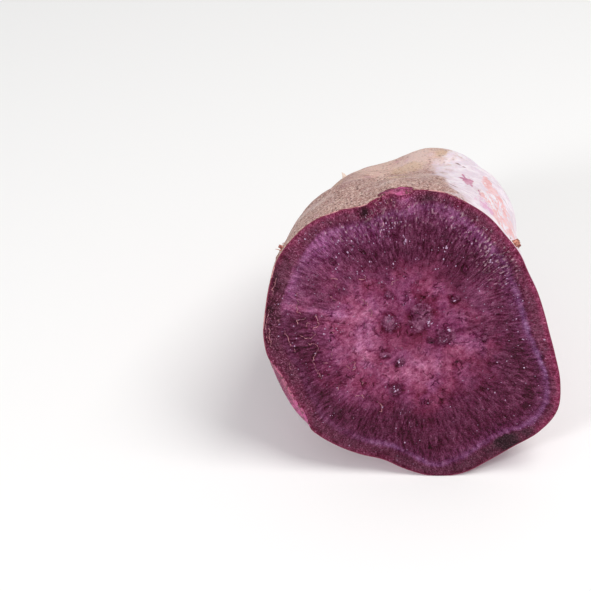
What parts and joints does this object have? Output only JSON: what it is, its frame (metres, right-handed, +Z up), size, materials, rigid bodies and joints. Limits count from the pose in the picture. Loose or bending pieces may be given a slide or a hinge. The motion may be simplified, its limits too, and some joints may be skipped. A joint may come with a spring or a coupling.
{
  "type": "halved purple sweet potato",
  "caption": "Half of a purple sweet potato lying on its side, with a flat crosswise cut across the flesh, a lumpy skin with eyes, and a short broken root at the far end.",
  "frame": {"origin": "on the surface that the half lies on, under the middle of its box", "axes": "+Z up, +Y from the cut face towards the root end, +X to the right as seen from in front of the cut"},
  "size_m": [0.081, 0.1072, 0.0821],
  "materials": {
    "skin": "matte, mauve-brown skin with a pale bloom and peeled magenta flakes",
    "flesh": "moist cut flesh, dark purple with a paler violet ring"
  },
  "bodies": {
    "root": {"potato_half": "skin"}
  },
  "joints": []
}
